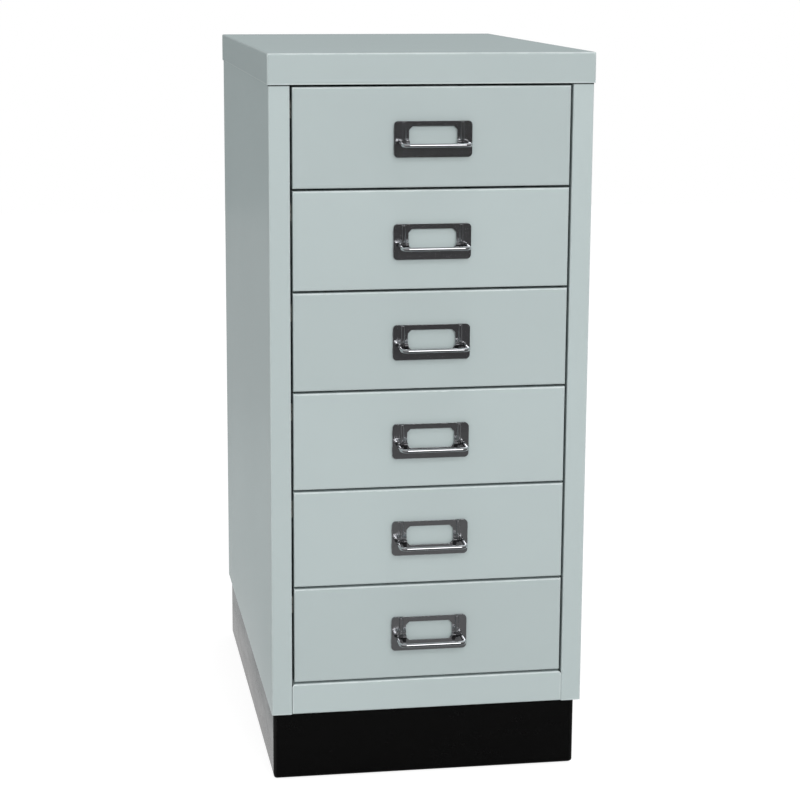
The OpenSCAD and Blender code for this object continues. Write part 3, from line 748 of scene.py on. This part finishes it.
class CABINET_OT_runners(bpy.types.Operator):
    """Plates the runners and bolts with zinc and gives the guides and glides their nylon"""

    bl_idname = "cabinet.runners"
    bl_label = "Finish the runners"

    def execute(self, context):
        finish = context.scene.cabinet_finish
        zinc, plastic = plated_zinc(finish), nylon(finish)
        runners = [f"{side}_runner_{i}" for side in ("left", "right") for i in DRAWERS]
        for name in ["plinth_bolts", "plinth_nuts"] + runners:
            coat(name, zinc)
        glides = [f"drawer_{i}_glides" for i in DRAWERS]
        for name in ["left_front_guides", "right_front_guides"] + glides:
            coat(name, plastic)
        return {"FINISHED"}


class CABINET_OT_card_frames(bpy.types.Operator):
    """Builds the bright card frame of each drawer"""

    bl_idname = "cabinet.card_frames"
    bl_label = "Build the card frames"

    def execute(self, context):
        size, finish = context.scene.cabinet_pull, context.scene.cabinet_finish
        for i in DRAWERS:
            node = f"drawer_{i}_card_frame"
            bm, place = build_card_frame(size), pull_origin(i, size)
            bmesh.ops.translate(bm, verts=bm.verts, vec=place)
            pivot = place.y - size.pivot_out
            # Painted shade darkens the frame's upward faces and its knuckle beads in front of the
            # pivot
            metal = bright_metal(finish, f"bright_frame_{i}", *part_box(node), polish=0.12,
                                 ripple=0.3, upward_shade=0.9, bright_to=pivot,
                                 dark_from=pivot - 1.2 * MM)
            finish_piece(bm, f"card_frame_{i}", metal, f"drawer_{i}", node)
        return {"FINISHED"}


class CABINET_OT_bails(bpy.types.Operator):
    """Builds the wire bail that hangs in the knuckles of each card frame"""

    bl_idname = "cabinet.bails"
    bl_label = "Build the bails"

    def execute(self, context):
        size, finish = context.scene.cabinet_pull, context.scene.cabinet_finish
        for i in DRAWERS:
            node = f"drawer_{i}_bail"
            bm, place = build_bail(size), pull_origin(i, size)
            bmesh.ops.translate(bm, verts=bm.verts, vec=place)
            pivot = place.y - size.pivot_out
            # Painted shade darkens the bail's arms and bends near its pivot
            metal = bright_metal(finish, f"bright_bail_{i}", *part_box(node), polish=0.04,
                                 ripple=0.08, upward_shade=0.0, bright_to=pivot - 7 * MM,
                                 dark_from=pivot - 3 * MM)
            finish_piece(bm, f"bail_{i}", metal, f"bail_{i}", node)
        return {"FINISHED"}


# ---- stage ----

# Name, place, aim, width and height of each lamp, in metres
LAMPS = (("key", (0.4, -6.4, 2.6), (0, 0, 0.35), 3.0, 3.0),
         ("strip", (0.2, -1.6, 3.2), (0, 0, 0.64), 2.4, 0.5))
COOL_WHITE = srgb(240, 254, 255)
WHITE = srgb(255, 255, 255)


def area_lamp(name, place, target, width, height, power):
    """Lamp that lights the object, but that no reflection shows."""
    lamp = bpy.data.lights.new(name, "AREA")
    lamp.shape, lamp.size, lamp.size_y, lamp.energy = "RECTANGLE", width, height, power
    holder = bpy.data.objects.new(name, lamp)
    holder.location = place
    holder.rotation_mode = "QUATERNION"
    holder.rotation_quaternion = (Vector(target) - Vector(place)).to_track_quat("-Z", "Y")
    holder.visible_glossy = False
    bpy.context.scene.collection.objects.link(holder)


def set_piece(scene, bm, name, material):
    """Turns a bmesh into an object of the set, which is no part of the cabinet."""
    mesh = bpy.data.meshes.new(name)
    bm.to_mesh(mesh)
    bm.free()
    thing = bpy.data.objects.new(name, mesh)
    scene.collection.objects.link(thing)
    mesh.materials.append(material)
    return thing


class CABINET_OT_stage(bpy.types.Operator):
    """Sets the camera, the lamps, the pale floor and the background"""

    bl_idname = "cabinet.stage"
    bl_label = "Set the stage"

    def execute(self, context):
        stage, scene = context.scene.cabinet_stage, context.scene
        self.camera(scene, stage)
        self.floor(scene)
        self.background(scene, stage)
        self.surround(scene)
        for kind, *shape in LAMPS:
            area_lamp(f"{kind}_lamp", *shape, getattr(stage, kind))
        scene.view_settings.view_transform = "Standard"
        return {"FINISHED"}

    def camera(self, scene, stage):
        """Camera that looks along yaw and pitch and is turned by roll round that line."""
        lens = bpy.data.cameras.new("camera")
        lens.lens, lens.sensor_width = stage.lens, 36.0
        lens.shift_x, lens.shift_y = stage.shift
        lens.clip_start, lens.clip_end = 0.05, 50.0
        camera = bpy.data.objects.new("camera", lens)
        scene.collection.objects.link(camera)
        yaw, pitch, roll = stage.turn
        forward = Vector((math.sin(yaw) * math.cos(pitch), math.cos(yaw) * math.cos(pitch),
                          -math.sin(pitch)))
        right = Vector((math.cos(yaw), -math.sin(yaw), 0.0))
        up = right.cross(forward)
        across = math.cos(roll) * right + math.sin(roll) * up
        upward = -math.sin(roll) * right + math.cos(roll) * up
        turned = Matrix((across, upward, -forward)).transposed().to_4x4()
        camera.matrix_world = Matrix.Translation(stage.eye) @ turned
        scene.camera = camera

    def floor(self, scene):
        """White plane that keeps the object's shadow.

        Reflections show another one: dark far in front, a little lighter towards the plinth, and
        pale from the plinth's front on, with a glow that is weaker on the left."""
        far_grey, mid_grey, foot_grey = srgb(75, 74, 75), srgb(124, 124, 124), srgb(96, 96, 96)
        pale_grey, seen_grey = srgb(150, 150, 150), srgb(160, 160, 160)
        plain_grey = srgb(228, 228, 228)
        left_glow, left_glow_far, right_glow, seen_glow = 0.42, 0.34, 0.86, 0.85
        material, g, where = new_material("pale_floor")
        path = g.add("ShaderNodeLightPath").outputs
        across, depth, _ = g.axes(where)
        behind = g.ramp(depth, -0.190, -0.180)
        right = g.ramp(across, -0.175, -0.150)
        grey = g.blend(g.ramp(depth, -2.0, -0.8), far_grey, mid_grey)
        grey = g.blend(g.ramp(depth, -0.42, -0.24), grey, foot_grey)
        grey = g.blend(behind, grey, pale_grey)
        glow = g.mix(right, g.ramp(depth, 0.8, 1.6, left_glow, left_glow_far), right_glow)
        mirrored = g.shader("AddShader", i0=g.shader("BsdfDiffuse", Color=grey),
                            i1=g.shader("Emission", Color=g.blend(right, COOL_WHITE, WHITE),
                                        Strength=g.math("MULTIPLY", behind, glow)))
        bright = g.shader("AddShader", i0=g.shader("BsdfDiffuse", Color=seen_grey),
                          i1=g.shader("Emission", Color=WHITE, Strength=seen_glow))
        plain = g.shader("BsdfDiffuse", Color=plain_grey)
        other = g.shader("MixShader", i0=path["Is Glossy Ray"], i1=plain, i2=mirrored)
        seen = g.math("MAXIMUM", path["Is Camera Ray"], path["Is Transmission Ray"])
        g.finish(g.shader("MixShader", i0=seen, i1=other, i2=bright))
        bm = bmesh.new()
        bmesh.ops.create_grid(bm, x_segments=1, y_segments=1, size=4.0)
        bmesh.ops.translate(bm, verts=bm.verts, vec=(0, 0, -0.2 * MM))
        set_piece(scene, bm, "floor", material)

    def surround(self, scene):
        """Room that only reflections show: dim in front, bright overhead, with one tall window.

        Its places are given as directions, so that X, Y and Z run from -1 to 1."""
        low_front, left_front, right_front = 0.055, 0.45, 0.10
        left_back, right_back, overhead, window_level = 0.40, 0.55, 0.5, 6.0
        window_middle = 0.17
        material, g, where = new_material("room_walls")
        across, depth, height = g.axes(g.vector("NORMALIZE", where))
        behind = g.ramp(depth, -0.35, 0.35)
        ahead = g.mix(g.ramp(height, 0.02, 0.12), low_front,
                      g.ramp(across, -0.5, 0.3, left_front, right_front))
        back = g.ramp(across, -0.06, 0.06, left_back, right_back)
        level = g.mix(behind, ahead, back)
        level = g.mix(g.ramp(height, 0.2, 0.6), level, overhead)
        # The window fades at its two sides, below, above and towards the back of the room
        aside = g.math("ABSOLUTE", g.math("SUBTRACT", across, window_middle))
        window = g.math("MULTIPLY", g.ramp(aside, 0.12, 0.08), g.ramp(depth, -0.1, -0.2))
        window = g.math("MULTIPLY", window, g.ramp(height, 0.15, 0.19))
        window = g.math("MULTIPLY", window, g.ramp(height, 0.54, 0.46))
        level = g.mix(window, level, window_level)
        tone = g.blend(behind, WHITE, COOL_WHITE)
        g.finish(g.shader("Emission", Color=tone, Strength=level))
        bm = bmesh.new()
        bmesh.ops.create_uvsphere(bm, u_segments=48, v_segments=24, radius=9.0)
        room = set_piece(scene, bm, "surround", material)
        room.visible_camera = room.visible_diffuse = room.visible_shadow = False

    def background(self, scene, stage):
        """White for the rays that show it: camera, glossy and transmission. Dimmer as a light."""
        world = bpy.data.worlds.new("studio")
        world.use_nodes = True
        world.node_tree.nodes.clear()
        g = Graph(world.node_tree)
        path = g.add("ShaderNodeLightPath").outputs
        seen = g.math("MAXIMUM", path["Is Camera Ray"], path["Is Glossy Ray"])
        seen = g.math("MAXIMUM", seen, path["Is Transmission Ray"])
        white = g.shader("Background", Color=WHITE, Strength=1.0)
        light = g.shader("Background", Color=WHITE, Strength=stage.ambient)
        g.finish(g.shader("MixShader", i0=seen, i1=light, i2=white), "World")
        scene.world = world


class CABINET_PT_panel(bpy.types.Panel):
    """Lists the steps that dress the cabinet, with their sizes and colours"""

    bl_idname = "CABINET_PT_panel"
    bl_label = "Small drawer cabinet"
    bl_space_type = "VIEW_3D"
    bl_region_type = "UI"
    bl_category = "Cabinet"

    def draw(self, context):
        layout = self.layout
        for step in STEPS:
            layout.operator(step.bl_idname)
        for holder in ("cabinet_pull", "cabinet_finish", "cabinet_stage"):
            box = layout.box()
            group_of = getattr(context.scene, holder)
            for name in group_of.__annotations__:
                box.prop(group_of, name)


STEPS = (CABINET_OT_enamel, CABINET_OT_plinth, CABINET_OT_runners, CABINET_OT_card_frames,
         CABINET_OT_bails, CABINET_OT_stage)
GROUPS = {"cabinet_pull": CabinetPull, "cabinet_finish": CabinetFinish,
          "cabinet_stage": CabinetStage}


def register():
    for cls in (*GROUPS.values(), *STEPS, CABINET_PT_panel):
        bpy.utils.register_class(cls)
    for name, cls in GROUPS.items():
        setattr(bpy.types.Scene, name, PointerProperty(type=cls))


def unregister():
    for name in GROUPS:
        delattr(bpy.types.Scene, name)
    for cls in (CABINET_PT_panel, *reversed(STEPS), *reversed(GROUPS.values())):
        bpy.utils.unregister_class(cls)


def main():
    register()
    bpy.ops.cabinet.enamel()
    bpy.ops.cabinet.plinth()
    bpy.ops.cabinet.runners()
    bpy.ops.cabinet.card_frames()
    bpy.ops.cabinet.bails()
    bpy.ops.cabinet.stage()


if __name__ == "__main__":
    main()
